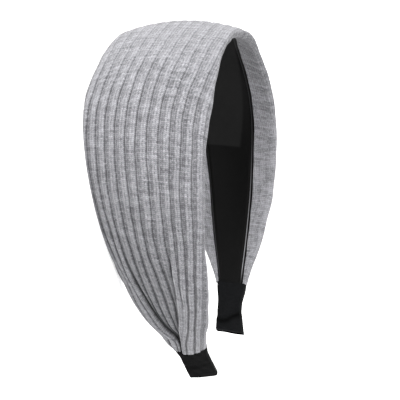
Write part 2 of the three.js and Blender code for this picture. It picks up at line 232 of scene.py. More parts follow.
class Column:
    """Smooth curve through one column of a table: no overshoot between rows, level at the first row."""

    def __init__(self, rows, key, name):
        self.at = np.array([row[key] for row in rows], float)
        self.value = np.array([row[name] for row in rows], float)
        gap = np.diff(self.at)
        slope = np.diff(self.value) / gap
        tangent = np.zeros(len(rows))
        tangent[-1] = slope[-1]
        for i in range(1, len(rows) - 1):
            if slope[i - 1] * slope[i] > 0:
                before = 2 * gap[i] + gap[i - 1]
                after = gap[i] + 2 * gap[i - 1]
                tangent[i] = (before + after) / (before / slope[i - 1] + after / slope[i])
        self.gap = gap
        self.tangent = tangent

    def __call__(self, at):
        at = np.asarray(at, float)
        i = np.clip(np.searchsorted(self.at, at, side="left") - 1, 0, len(self.gap) - 1)
        gap = self.gap[i]
        t = np.clip((at - self.at[i]) / gap, 0, 1)
        u = 1 - t
        ends = self.value[i] * (1 + 2 * t) * u * u + self.value[i + 1] * t * t * (3 - 2 * t)
        return ends + gap * (self.tangent[i] * t * u * u - self.tangent[i + 1] * t * t * u)


class Table:
    """A table whose every column is read as a smooth curve of its key."""

    def __init__(self, rows, key):
        for name in rows[0]:
            if name != key:
                setattr(self, name, Column(rows, key, name))


arch = Table(ARCH, "along")
width = Table(WIDTHS, "along")
hems_in = Table(HEMS_IN, "along")
gather = Table(GATHERS, "along")
hem = Table(HEM, "rib")
sleeve = {name: Table(rows, "along") for name, rows in SLEEVES.items()}
valley_lines = {}
for column, valley in enumerate(VALLEYS):
    rows = [{"along": row["along"], "across": row["across"][column]} for row in VALLEY_LINES]
    valley_lines[valley] = Column(rows, "along", "across")

# The arch's middle line, walked in short steps from the crown
ARCH_STEP = 0.5


def walk(slopes):
    return np.concatenate([[0], np.cumsum(slopes * ARCH_STEP)])


arch_along = np.arange(0, 200 + ARCH_STEP, ARCH_STEP)
arch_turn = walk(np.radians(arch.bend(arch_along[1:] - ARCH_STEP / 2)))
arch_mean = (arch_turn[1:] + arch_turn[:-1]) / 2
arch_x = walk(np.cos(arch_mean))
arch_z = walk(-np.sin(arch_mean))


def lay_down(x, y, z):
    """Lays points of the upright arch on its front edge and gives them in metres, in the frame's axes."""
    c = math.cos(math.radians(REST_TILT))
    s = math.sin(math.radians(REST_TILT))
    laid = np.stack([x, s * y + c * z + REST_SHIFT_Y, s * z - c * y + REST_HEIGHT], -1)
    return laid * MM


def arch_points(station, across, depth):
    """Points on the arch. station is signed along it, across runs towards the brow and depth goes inwards."""
    station, across, depth = np.broadcast_arrays(station, across, depth)
    along = np.abs(station)
    side = np.where(station < 0, -1, 1)
    turn = np.interp(along, arch_along, arch_turn)
    tilt = np.radians(arch.tilt(along))
    crowning = np.maximum(np.radians(arch.crowning(along)), 1e-5)
    lean = across * crowning + tilt
    y = arch.sweep(along) + (np.sin(lean) - np.sin(tilt)) / crowning - depth * np.sin(lean)
    rise = (np.cos(lean) - np.cos(tilt)) / crowning - depth * np.cos(lean)
    x = (np.interp(along, arch_along, arch_x) + rise * np.sin(turn)) * side
    z = np.interp(along, arch_along, arch_z) + rise * np.cos(turn)
    return lay_down(x, y, z)


def band_thickness(along):
    return BAND_THICKNESS + (BAND_TIP_THICKNESS - BAND_THICKNESS) * change("band_thins", along)


# Meshes


def deselect_all():
    if bpy.context.object and bpy.context.object.mode != "OBJECT":
        bpy.ops.object.mode_set(mode="OBJECT")
    bpy.ops.object.select_all(action="DESELECT")


def skin(name, points, pattern, sharp_angle, marks):
    """A closed body over rows of points, each row a closed ring.

    It starts as a flat grid, one face for each step, which is wrapped into a tube. The seam is merged and
    the two ends are filled. pattern holds the place of every grid corner on the piece's own cloth. marks
    holds further values from 0 to 1 for every point, by name, which the materials read.
    """
    rows, columns = points.shape[:2]
    deselect_all()
    bpy.ops.mesh.primitive_grid_add(x_subdivisions=columns, y_subdivisions=rows - 1, size=1, calc_uvs=True)
    body = bpy.context.object
    body.name = body.data.name = name
    wrapped = np.concatenate([points, points[:, :1]], 1).reshape(-1, 3)
    mesh = body.data
    mesh.vertices.foreach_set("co", wrapped.astype(np.float32).ravel())
    corner = np.zeros(len(mesh.loops), np.int32)
    mesh.loops.foreach_get("vertex_index", corner)
    layer = mesh.uv_layers[0]
    layer.name = "cloth"
    layer.data.foreach_set("uv", pattern.reshape(-1, 2)[corner].astype(np.float32).ravel())
    for mark, value in marks.items():
        value = np.concatenate([value, value[:, :1]], 1).ravel()
        mesh.attributes.new(mark, "FLOAT", "POINT").data.foreach_set("value", value.astype(np.float32))
    mesh.update()
    bpy.ops.object.mode_set(mode="EDIT")
    bpy.ops.mesh.select_all(action="SELECT")
    bpy.ops.mesh.remove_doubles(threshold=1e-6)
    bpy.ops.mesh.select_all(action="DESELECT")
    bpy.ops.mesh.select_non_manifold()
    bpy.ops.mesh.fill(use_beauty=False)
    bpy.ops.mesh.select_all(action="SELECT")
    bpy.ops.mesh.normals_make_consistent(inside=False)
    bpy.ops.mesh.select_all(action="DESELECT")
    bpy.ops.object.mode_set(mode="OBJECT")
    bpy.ops.object.shade_smooth_by_angle(angle=math.radians(sharp_angle))
    body.location = (0, 0, 0)
    return body


def finish_piece(piece, node, material):
    piece.data.materials.clear()
    piece.data.materials.append(material)
    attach(piece, "root")
    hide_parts(node)


# The knit cover

# Columns in one rib, round the pleat's fold and down each inner margin
RIB_COLUMNS = 12
STRIP_COLUMNS = 14
MARGIN_COLUMNS = 30

# The step between rows where the cloth is even and where it is gathered, and where the gathers begin
ROW_STEP = 1.5
GATHERED_STEP = 1.15
GATHERED_FROM = 105

# Half the share of a rib that the pleat's fold takes, the reach of its round nose, the share of the fold that
# goes round the nose, and how far over the middle its underside ends
HALF_STRIP = 1 / 12
PLEAT_NOSE = 0.9
NOSE_SHARE = 0.7
UNDERSIDE = 0.35

# The share of a rib that a valley takes, the pitch at which that is least, and the least distances that keep
# crowded rib lines in their order
VALLEY_SHARE = 1 / 3
LEAST_PITCH = 2.0
FOLD_GAP = 0.15
VALLEY_GAP = 0.12
LINE_GAP = 0.05

# How far a hem turns before it comes back under the band, and the lower hem's scallops and rounding
HEM_REACH = 1.4
SCALLOP = 0.12
LOW_HEM_TURN = 1.0
LOW_HEM_DEPTH = 1.1

# A rib's profile, by the distance from its valley as a share of half a rib: where its steep side lies, the
# height and width of its rounding, and the height and width of the purl stitches in the valley
SIDE_LOW = 0.32
SIDE_HIGH = 0.52
ROUNDING = 0.14
ROUNDING_WIDTH = 0.55
PURL = 0.16
PURL_WIDTH = 0.33

# The pitch under which ribs flatten, and the share of their height that they keep at least
FULL_PITCH = 3.4
LEAST_RELIEF = 0.25

# Painted shade on the cloth: the reach of the fold's lee, the strength, reach and growth of the crease, the
# shade and width of the valleys' lines, and the shade of the sunken middle
LEE_REACH = 2.5
CREASE_STRENGTH = 1.8
CREASE_REACH = 1.4
CREASE_GROWTH = 0.8
LINE_PAINTED_SHADE = 0.62
LINE_WIDTH = 0.13
MIDDLE_PAINTED_SHADE = 0.32

# How far the slow and the quick waves of hand-laid cloth move it across the arch
SLOW_WAVE = 0.14
QUICK_WAVE = 0.08


def even_lines(first, last):
    return np.linspace(first, last, round((last - first) * RIB_COLUMNS) + 1)


# Rib coordinates of the columns on the face: up to the pleat, round its fold and on to the front hem
rear_lines = even_lines(FIRST_LINE, PLEAT_RIB - HALF_STRIP)
strip_lines = np.linspace(PLEAT_RIB - HALF_STRIP, PLEAT_RIB + HALF_STRIP, STRIP_COLUMNS + 1)[1:-1]
face_lines = np.concatenate([rear_lines, strip_lines, even_lines(PLEAT_RIB + HALF_STRIP, LAST_LINE)])


def valley_width(pitch, along):
    """Width of a valley, which closes up first where the cloth is slack or the ribs are crowded."""
    room = min(max((pitch - LEAST_PITCH) / (RIB_PITCH - LEAST_PITCH), 0), 1)
    return VALLEY_SHARE * (0.4 + 0.6 * room) * (1 - 0.4 * change("valleys_close", along)) * max(pitch, 0)


def opened(along):
    """How far the pleat has opened into a fold that overhangs."""
    return change("pleat_opens", along)


def rib_across(rib, along):
    """How far rib lines lie from the middle along the cloth's surface, apart from the pleat's own fold."""
    centres = np.array([float(valley_lines[valley](along)) for valley in VALLEYS])
    fold = centres[VALLEYS.index(PLEAT_RIB)]
    marks, places = [], []
    for valley, centre, pitch in zip(VALLEYS, centres, np.gradient(centres)):
        if valley == PLEAT_RIB:
            half_mark = HALF_STRIP
            flat = HALF_STRIP * RIB_PITCH * (1 - opened(along))
            before = centre - PLEAT_NOSE * opened(along) - flat
            after = centre - float(gather.lap(along)) * opened(along) + flat
        else:
            half_mark = VALLEY_SHARE / 2
            if valley == CREASE_RIB:
                centre = max(centre, fold + FOLD_GAP * opened(along))
            if valley > PLEAT_RIB:
                centre = max(centre, places[-1] + VALLEY_GAP)
            half = valley_width(pitch, along) / 2
            before = max(centre - half, places[-1] + LINE_GAP) if places else centre - half
            after = max(centre + half, before + LINE_GAP)
        marks += [valley - half_mark, valley + half_mark]
        places += [before, after]
    return np.interp(rib, marks, places)


def hem_edge(name, along, side):
    """How far the "rear" or "front" hem lies from the middle line on one leg."""
    leg = "left" if side < 0 else "right"
    plain = getattr(width, name)(along) - gather.tuck(along)
    return float(plain - getattr(hems_in, f"{leg}_{name}")(along))


def hem_turn(inner_depth):
    """Length of the cloth's turn round a hem, from the outer face to the inner margin."""
    return math.pi * (HEM_REACH + inner_depth / 2) / 2


def round_hem(reach, edge, inner_depth):
    """Follows the cloth round a turned hem. Returns the place across, the depth and the share on the face."""
    bend = edge - HEM_REACH
    turn = hem_turn(inner_depth)
    angle = np.clip((reach - bend) / turn, 0, 1) * math.pi
    across = np.where(reach <= bend, reach, bend + HEM_REACH * np.sin(angle))
    across = np.where(reach >= bend + turn, bend - (reach - bend - turn), across)
    depth = inner_depth / 2 * (1 - np.cos(angle))
    return across, depth, np.clip(np.cos(angle), 0, 1)


def margin_reach(edge, stop, inner_depth, first):
    """Even steps along the cloth from the end of its inner margin to where the face's own lines begin."""
    total = edge - HEM_REACH + hem_turn(inner_depth) + edge - HEM_REACH - stop
    return total + (first - total) * np.arange(MARGIN_COLUMNS) / MARGIN_COLUMNS


def rib_relief(rib, crest, valley, soft=0.0):
    """Height of a broad rib with steep sides, less steep where it is soft, over a row of purl stitches."""
    from_valley = np.abs((rib + 0.5) % 1.0 - 0.5) * 2
    side = smooth(SIDE_LOW - 0.15 * soft, SIDE_HIGH + 0.1 * soft, from_valley)
    rounding = ROUNDING * (1 - ((from_valley - 1) / ROUNDING_WIDTH) ** 2).clip(0, 1)
    purl = PURL * (1 - (from_valley / PURL_WIDTH) ** 2).clip(0, 1)
    return -valley + (valley + crest) * side + rounding * side + purl * (1 - side)


class ClothSection:
    """One closed section of the cloth, whose columns start at the end of the rear inner margin.

    along is its distance from the crown, and side is -1 on the left leg and 1 on the right one.
    """

    def __init__(self, along, side, settings):
        self.along = along
        self.settings = settings
        self.wide = opened(along)
        self.fold = float(valley_lines[PLEAT_RIB](along))
        self.rear_stop = float(width.band_rear(along)) + CLEARANCE
        self.front_stop = float(width.band_front(along)) + CLEARANCE
        self.front_edge = hem_edge("front", along, side)
        self.lay_columns(hem_edge("rear", along, side))
        self.gather_up()
        self.fold_pleat()
        self.painted_shade_share = self.find_painted_shade()
        self.raise_ribs(self.find_relief())
        self.close()

    def lay_columns(self, rear_edge):
        """Finds where every column lies, from its distance to the middle along the cloth."""
        along = self.along
        inner = float(width.seat(along) + band_thickness(along))
        face = rib_across(face_lines, along)
        rear_pitch = abs(rib_across(VALLEYS[1], along) - rib_across(VALLEYS[0], along))
        front_pitch = abs(rib_across(VALLEYS[-1], along) - rib_across(VALLEYS[-2], along))
        rear_reach = margin_reach(rear_edge, self.rear_stop, inner, abs(face[0]))
        front_reach = margin_reach(self.front_edge, self.front_stop, inner, face[-1])[::-1]
        self.place = np.concatenate([-rear_reach, face, front_reach])
        rear_ribs = face_lines[0] - (rear_reach - abs(face[0])) / rear_pitch
        front_ribs = face_lines[-1] + (front_reach - face[-1]) / front_pitch
        self.rib = np.concatenate([rear_ribs, face_lines, front_ribs])
        edge = np.where(self.place < 0, rear_edge, self.front_edge)
        across, self.depth, self.on_face = round_hem(np.abs(self.place), edge, inner)
        self.across = np.sign(self.place) * across

    def gather_up(self):
        """Lifts the rear, middle and front stretches to their own heights and sinks the crease."""
        along, rib = self.along, self.rib
        rear = float(gather.rear(along)) * smooth(-2.4, -0.6, rib)
        middle = float(gather.middle(along))
        front = float(gather.front(along)) * (1 - smooth(9.0, 10.9, rib))
        sink = hump(rib - CREASE_RIB, 0.33) * float(gather.furrow(along))
        self.climb = smooth(CREASE_RIB, CREASE_RIB + 0.45, rib)
        self.lift = np.where(rib < PLEAT_RIB, rear, middle * (1 - self.climb) + front * self.climb - sink)

    def fold_pleat(self):
        """Takes the pleat over its nose, then down and back under itself to where the middle comes out."""
        along, wide = self.along, self.wide
        q = np.linspace(0, 1, STRIP_COLUMNS + 1)[1:-1]
        first = MARGIN_COLUMNS + len(rear_lines)
        self.strip = slice(first, first + len(q))
        top = float(gather.rear(along))
        under = float(gather.middle(along)) + UNDERSIDE * wide
        turn = np.clip(q / NOSE_SHARE, 0, 1) * math.pi
        back = np.clip((q - NOSE_SHARE) / (1 - NOSE_SHARE), 0, 1) * (PLEAT_NOSE - float(gather.lap(along)))
        nose_across = self.fold - PLEAT_NOSE + PLEAT_NOSE * np.sin(turn) + back
        nose_lift = (top + under) / 2 + (top - under) / 2 * np.cos(turn)
        self.across[self.strip] = self.across[self.strip] * (1 - wide) + nose_across * wide
        self.lift[self.strip] = self.lift[self.strip] * (1 - wide) + nose_lift * wide

    def find_painted_shade(self):
        """Painted shade where shade falls: in the lee of the fold, in the crease, in valleys and in the
        middle.
        """
        along, rib = self.along, self.rib
        past_fold = rib > PLEAT_RIB + 0.02
        before_crease = rib < CREASE_RIB + 0.1
        lee = np.exp(-np.maximum(self.across - self.fold, 0) / LEE_REACH) * past_fold * before_crease
        from_crease = np.maximum(float(valley_lines[CREASE_RIB](along)) - self.across, 0)
        crease_reach = CREASE_REACH + CREASE_GROWTH * change("crease_widens", along)
        crease = np.minimum(CREASE_STRENGTH * np.exp(-from_crease / crease_reach), 1)
        crease = crease * (rib > CREASE_RIB - 2) * (rib < CREASE_RIB + 0.2)
        line = LINE_PAINTED_SHADE + 0.2 * smooth(CREASE_RIB + 0.3, CREASE_RIB + 0.6, rib)
        past_pleat = smooth(PLEAT_RIB + 0.3, PLEAT_RIB + 0.6, rib)
        line = hump((rib + 0.5) % 1.0 - 0.5, LINE_WIDTH) * line * past_pleat
        middle = MIDDLE_PAINTED_SHADE * past_fold * (1 - self.climb) * change("middle_darkens", along)
        lines = np.maximum(crease, line) * change("lines_darken", along)
        return np.maximum(lee * self.wide, np.maximum(lines, middle)) * self.on_face

    def find_relief(self):
        """Height of the ribs, which flatten where they are crowded or stretched and run full at the fold."""
        along, rib, crest = self.along, self.rib, self.settings.rib_crest
        relief = rib_relief(rib, crest, self.settings.rib_valley, 1 - self.on_face)
        pitch = np.abs(np.hypot(np.gradient(self.place), np.gradient(self.lift)) / np.gradient(rib))
        relief = relief * np.clip(pitch / FULL_PITCH, LEAST_RELIEF, 1)
        at_fold = hump(rib - PLEAT_RIB + 0.12, 0.24) * self.wide * (rib < PLEAT_RIB + 0.02)
        relief = relief * (1 - at_fold) + crest * at_fold
        relief[self.strip] *= 1 - self.wide
        faint = hump(rib - 2, 0.3) * change("valley_two_fills", along)
        relief = relief * (1 - faint) + crest * faint
        column = np.arange(len(rib))
        ends = smooth(0, 5, column) * smooth(0, 5, column[::-1])
        slack = 0.15 + 0.65 * change("ribs_spread", along) + 0.2 * change("ribs_deepen", along)
        margin = 0.05 + 0.3 * change("margin_ribs", along)
        relief = relief * ends * (margin + (1 - margin) * smooth(0.6, 1, self.on_face)) * slack
        return relief * (1 - 0.6 * change("ribs_flatten", along))

    def raise_ribs(self, relief):
        """Lifts the gathers, lets the front hem droop at the crown and sets the ribs square to the cloth."""
        droop = self.settings.hem_droop * (1 - change("hem_rises", self.along))
        depth = self.depth - self.lift * self.on_face
        depth = depth + droop * (np.maximum(self.across, 0) / self.front_edge) ** 6
        run_across = np.gradient(self.across)
        run_depth = np.gradient(depth)
        length = np.maximum(np.hypot(run_across, run_depth), 1e-6)
        self.across = self.across + relief * run_depth / length
        self.depth = depth - relief * run_across / length

    def close(self):
        """Closes the section with a lid between the outside of the cloth and the band."""
        rear, front = self.rear_stop, self.front_stop
        lid = np.array([front, front * 0.5, (front - rear) / 2, -rear * 0.5, -rear])
        ceiling = float(width.seat(self.along)) - CLEARANCE
        nothing = np.zeros(len(lid))
        lid_rib = np.linspace(self.rib[-1], self.rib[0], len(lid) + 2)[1:-1]
        self.across = np.concatenate([self.across, lid])
        self.depth = np.concatenate([self.depth, nothing + ceiling])
        self.rib = np.concatenate([self.rib, lid_rib])
        self.on_face = np.concatenate([self.on_face, nothing])
        self.painted_shade_share = np.concatenate([self.painted_shade_share, nothing])


def lay_section(section, side):
    """Lays a section on the arch, its columns ending at the lower hem. Returns points and reach."""
    along, rib, on_face, depth = section.along, section.rib, section.on_face, section.depth
    reached = np.full(len(rib), float(along))
    if along > HEM_START:
        low = MARGIN_END + (hem.along(rib) - MARGIN_END) * on_face
        reached = HEM_START + (along - HEM_START) * (low - HEM_START) / (MARGIN_END - HEM_START)
        scallop = SCALLOP * rib_relief(rib, 0.5, 0.5) * smooth(HEM_START, MARGIN_END, along)
        reached = reached + scallop * on_face
        near_end = np.clip((along - MARGIN_END + LOW_HEM_TURN) / LOW_HEM_TURN, 0, 1)
        depth = depth + LOW_HEM_DEPTH * (1 - math.sqrt(1 - near_end**2)) * on_face
    slow = SLOW_WAVE * np.sin(along * 0.17 + side) * np.sin(rib * 0.9 + 0.4)
    quick = QUICK_WAVE * np.sin(along * 0.43 + rib * 1.7)
    laid = arch_points(reached * side, section.across + (slow + quick), depth)
    laid[:, 2] = np.maximum(laid[:, 2], 0)
    return laid, reached


def closed_ring(values):
    return np.concatenate([values, values[:1]])


def knit_stations():
    """Distances from the crown of the rows of one leg, closer together where the cloth is gathered."""
    even = np.arange(ROW_STEP, GATHERED_FROM, ROW_STEP)
    gathered = np.arange(GATHERED_FROM, MARGIN_END - 3, GATHERED_STEP)
    return np.concatenate([even, gathered, MARGIN_END - np.array([2.4, 1.6, 1.0, 0.6, 0.3, 0.1, 0])])


def make_knit(settings):
    half = knit_stations()
    points, pattern, painted_shade, face = [], [], [], []
    for station in np.concatenate([-half[::-1], [0], half]):
        side = -1 if station < 0 else 1
        section = ClothSection(abs(station), side, settings)
        laid, reached = lay_section(section, side)
        points.append(laid)
        pattern.append(np.stack([closed_ring(section.rib), closed_ring(reached) * side], -1))
        painted_shade.append(section.painted_shade_share)
        face.append(section.on_face)
    # The marks hold each point's painted shade and its share on the outer face
    marks = {"painted_shade": np.array(painted_shade), "face": np.array(face)}
    return skin("knit_cover_cloth", np.array(points), np.array(pattern), 62, marks)


# The inner band

# The groove beside each bead, the rounding of the band's corners, and the length over which the bead fades
GROOVE_WIDTH = 0.45
GROOVE_DEPTH = 0.16
BAND_CORNER = 0.35
RIM_FADE = 8


def band_section(along, settings):
    """One closed section of the inner band: flat outside, and inside a raised bead along each edge."""
    top = float(width.seat(along))
    floor = top + float(band_thickness(along))
    rear = float(width.band_rear(along))
    front = float(width.band_front(along))
    full = ramp(MARGIN_END, MARGIN_END - RIM_FADE, along)
    rim = settings.rim_height * full
    half = settings.rim_width / 2
    groove = settings.rim_width + GROOVE_WIDTH
    dip = floor - GROOVE_DEPTH * full
    level = floor + 0.02
    bead_edge = -rear + settings.rim_ledge
    bead = np.linspace(0.1, math.pi, 9)
    section = [(a, top) for a in np.linspace(-rear + BAND_CORNER, front - BAND_CORNER, 14)]
    section += [(front - 0.1, top + 0.1), (front, top + 0.4), (front, floor + rim - BAND_CORNER)]
    section += [(front - half + half * math.cos(b), floor + rim * math.sin(b)) for b in bead]
    section += [(front - groove + 0.15, dip), (front - groove - 0.4, level)]
    section += [(a, level) for a in np.linspace(front - groove - 0.9, bead_edge + groove + 0.9, 12)]
    section += [(bead_edge + groove + 0.4, level), (bead_edge + groove - 0.15, dip)]
    section += [(bead_edge + half * (1 - math.cos(b)), floor + rim * math.sin(b)) for b in bead[::-1]]
    section += [(bead_edge - 0.1, floor - 0.1), (-rear, floor - BAND_CORNER)]
    section += [(-rear, top + 0.4), (-rear + 0.1, top + 0.1)]
    across, depth = np.array(section).T
    # Painted highlight along each bead's crest: faint at the crown, strongest low on the legs, weak on the
    # front bead
    from_edge = np.minimum(front - across, across - bead_edge)
    on_rim_highlight = hump(from_edge - half, half * 0.6) * (depth > floor) * full
    highlighted = 0.08 + 0.92 * change("rim_highlight_grows", along)
    return across, depth, on_rim_highlight * highlighted * np.where(across > 0, 0.15, 1)


def make_band(settings):
    half = np.concatenate([np.arange(2.0, 172, 2.0), np.arange(172, BAND_END, 3.0), [BAND_END]])
    points, pattern, rim = [], [], []
    for station in np.concatenate([-half[::-1], [0], half]):
        across, depth, on_rim_highlight = band_section(abs(station), settings)
        rim.append(on_rim_highlight)
        points.append(arch_points(station, across, depth))
        around = closed_ring(across)
        pattern.append(np.stack([around, np.full(len(around), station)], -1))
    # The rim mark holds the painted highlight on the beads
    return skin("inner_band_moulding", np.array(points), np.array(pattern), 40, {"rim": np.array(rim)})


# The ribbon sleeves

# The roundness of a sleeve's sides, where the crease across it lies and how wide it is, the height of its
# small buckles, the step between its rows, and how far its closed lower end is drawn together
SLEEVE_BULGE = 0.55
SLEEVE_CREASE = 185.5
CREASE_WIDTH = 1.1
BUCKLE = 0.1
SLEEVE_STEP = 0.6
END_SHARE = 0.55

# crease: how deep that crease is. slant: how far the lower end runs up for each mm towards the brow.
SLEEVE_FORMS = {"left": {"crease": 0.12, "slant": 0.2}, "right": {"crease": 0.45, "slant": 0.14}}


def sleeve_section(along, inset, name):
    """One ring of the flat sleeve. inset 0 is its outside, and the wall's thickness gives its pocket."""
    rear = float(sleeve[name].rear(along)) - inset - SLEEVE_BULGE
    front = float(sleeve[name].front(along)) - inset - SLEEVE_BULGE
    top = SLEEVE_DEPTH + inset
    floor = SLEEVE_DEPTH + 2 * SLEEVE_WALL + 2 * CLEARANCE + BAND_TIP_THICKNESS - inset
    half = (floor - top) / 2
    turn = np.linspace(0, math.pi, 9)
    flat = np.linspace(0, 1, 16)[1:-1]
    section = [(front + SLEEVE_BULGE * math.sin(t), top + half * (1 - math.cos(t))) for t in turn]
    section += [(front - (front + rear) * f, floor) for f in flat]
    section += [(-rear - SLEEVE_BULGE * math.sin(t), floor - half * (1 - math.cos(t))) for t in turn]
    section += [(-rear + (front + rear) * f, top) for f in flat]
    across, depth = np.array(section).T
    middle = (top + floor) / 2
    if inset == 0:
        face = np.clip((depth - middle) / half, -1, 1)
        crease = SLEEVE_FORMS[name]["crease"]
        crease_line = SLEEVE_CREASE + 1.2 * np.cos((across - 1.0) * 0.45) + 0.1 * across
        from_crease = along - crease_line
        fold = hump(from_crease, CREASE_WIDTH) - 0.7 * hump(from_crease - 2 * CREASE_WIDTH, 1.4)
        buckle = BUCKLE * np.sin(along * 0.8 + across * 0.3 + len(name)) * np.sin(across * 0.9)
        puckers = crease * fold + buckle * change("sleeve_buckles", along)
        depth = depth - face * puckers * (np.abs(face) > 0.2)
        # Painted shade below the crease
        painted_shade_share = hump(from_crease - 2 * CREASE_WIDTH, 1.3) * crease * 2
    else:
        # Painted shade all over the pocket's walls
        painted_shade_share = np.ones(len(across))
    # The last value marks the inner face, which the ribbon's material makes paler as painted light
    return across, depth, painted_shade_share, smooth(-0.2, 0.2, (depth - middle) / half)


def make_sleeve(name, side):
    end = float(sleeve[name].low(SLEEVE_END))
    slant = SLEEVE_FORMS[name]["slant"]
    outer = np.arange(172.2, end - SLEEVE_STEP, SLEEVE_STEP)
    outer = np.concatenate([[SLEEVE_START, 171.6], outer, [end - 0.25, end]])
    pocket = np.array([BAND_END + 0.2, 191, 189, 186, 183, 180, 177, 174, 172.0, SLEEVE_START + 0.05])
    points, pattern, painted_shade, inner = [], [], [], []
    for along, inset in [(a, SLEEVE_WALL) for a in pocket] + [(a, 0.0) for a in outer]:
        across, depth, painted_shade_share, inner_face = sleeve_section(along, inset, name)
        painted_shade.append(painted_shade_share)
        inner.append(inner_face)
        reached = along
        if inset == 0:
            slack = smooth(186, end, along)
            reached = along - slack * (slant * across + 0.12 * np.sin(across * 0.55 + side))
            if along == end:
                middle = SLEEVE_DEPTH + 1.9
                depth = middle + (depth - middle) * END_SHARE
                reached = reached + 0.1
        points.append(arch_points(reached * side, across, depth))
        around = closed_ring(across)
        pattern.append(np.stack([around, np.full(len(around), along)], -1))
    marks = {"painted_shade": np.array(painted_shade), "inner": np.array(inner)}
    return skin(f"end_sleeve_{name}_ribbon", np.array(points), np.array(pattern), 50, marks)


# Materials


class Socket:
    """An output socket that takes part in Python sums and adds Math nodes for them."""

    def __init__(self, paint, output):
        self.paint = paint
        self.output = output

    def __add__(self, other):
        return self.paint.math("ADD", self, other)

    def __radd__(self, other):
        return self.paint.math("ADD", other, self)

    def __sub__(self, other):
        return self.paint.math("SUBTRACT", self, other)

    def __rsub__(self, other):
        return self.paint.math("SUBTRACT", other, self)

    def __mul__(self, other):
        return self.paint.math("MULTIPLY", self, other)

    def __rmul__(self, other):
        return self.paint.math("MULTIPLY", other, self)

    def __truediv__(self, other):
        return self.paint.math("DIVIDE", self, other)

    def __pow__(self, other):
        return self.paint.math("POWER", self, other)

    def __abs__(self):
        return self.paint.math("ABSOLUTE", self)


class Paint:
    """A material whose nodes are made by one method."""

    def __init__(self, name, base_color, roughness, constants):
        self.material = bpy.data.materials.new(name)
        self.material.use_nodes = True
        self.tree = self.material.node_tree
        self.shader = self.tree.nodes["Principled BSDF"]
        self.feed("Base Color", (*base_color, 1))
        self.feed("Roughness", roughness)
        for socket, value in constants.items():
            self.feed(socket, value)

    def put(self, socket, value):
        if isinstance(value, Socket):
            self.tree.links.new(value.output, socket)
        else:
            socket.default_value = value

    def feed(self, name, value):
        self.put(self.shader.inputs[name], value)

    def node(self, kind, settings, values, output=0):
        """Adds a node. settings are set first, then values by place or by name. Returns one output."""
        made = self.tree.nodes.new(kind)
        for name, value in settings.items():
            setattr(made, name, value)
        pairs = values.items() if isinstance(values, dict) else enumerate(values)
        for key, value in pairs:
            self.put(made.inputs[key], value)
        return Socket(self, made.outputs[output])

    def math(self, operation, *values):
        return self.node("ShaderNodeMath", {"operation": operation}, values)

    def step(self, low, high, value):
        """Smoothly from 0 at low to 1 at high."""
        kind = {"interpolation_type": "SMOOTHSTEP"}
        return self.node("ShaderNodeMapRange", kind, {"Value": value, "From Min": low, "From Max": high})

    def change(self, name, along):
        return self.step(*CHANGES[name], along)

    def clamp(self, value):
        return self.node("ShaderNodeClamp", {}, [value])

    def cloth_place(self):
        """The two coordinates of the piece's own pattern."""
        place = self.node("ShaderNodeUVMap", {"uv_map": "cloth"}, [])
        return [self.node("ShaderNodeSeparateXYZ", {}, [place], axis) for axis in (0, 1)]

    def mark(self, name):
        """A value that the mesh holds for every point."""
        return self.node("ShaderNodeAttribute", {"attribute_name": name}, [], 2)

    def join(self, x, y, z=0.0):
        return self.node("ShaderNodeCombineXYZ", {}, [x, y, z])

    def noise(self, place, scale=1.0, detail=2.0, roughness=0.5):
        values = {"Vector": place, "Scale": scale, "Detail": detail, "Roughness": roughness}
        return self.node("ShaderNodeTexNoise", {"noise_dimensions": "3D"}, values)

    def mix(self, factor, first, second):
        return self.node("ShaderNodeMix", {"data_type": "RGBA"}, {0: factor, 6: first, 7: second}, 2)

    def bump(self, height, distance):
        return self.node("ShaderNodeBump", {}, {"Height": height, "Distance": distance, "Strength": 1.0})


def shade_of(color, share=1.0):
    return (*[c * share for c in color], 1)


# Bump heights in metres, the yarn's painted shade deep in a fold and the painted highlight on the band's
# beads
KNIT_BUMP = 0.0002
BAND_BUMP = 0.00003
RIBBON_BUMP = 0.00006
FOLD_PAINTED_SHADE = (0.01, 0.01, 0.012)
RIM_PAINTED_HIGHLIGHT = (0.3, 0.3, 0.315)

# The yarn's own tone between its dark and its light fibre, and how strongly each pattern changes it
YARN_TONE = 0.53
YARN_PATTERNS = {"streak": 0.9, "fleck": 1.1, "cloud": 0.15, "fibre": 0.8, "band": 0.35}

# Plain stitches in one rib, and whole numbers that keep the patterns' coordinates over 0
WALES = 4
RIBS_ON = 100
ROWS_ON = 1000

# The band's paler stretch: where its edge across the band lies at 60 mm from the crown, how fast that edge
# moves, and where the stretch ends on each leg
PALE_EDGE = 12.4
PALE_EDGE_FROM = 60
PALE_EDGE_SLOPE = 0.17
PALE_END = 110.6
PALE_END_WIDTH = 0.8

# The ribbon's cross cords and warp threads, by their pitch
CORD_PITCH = 0.6
WARP_PITCH = 0.42


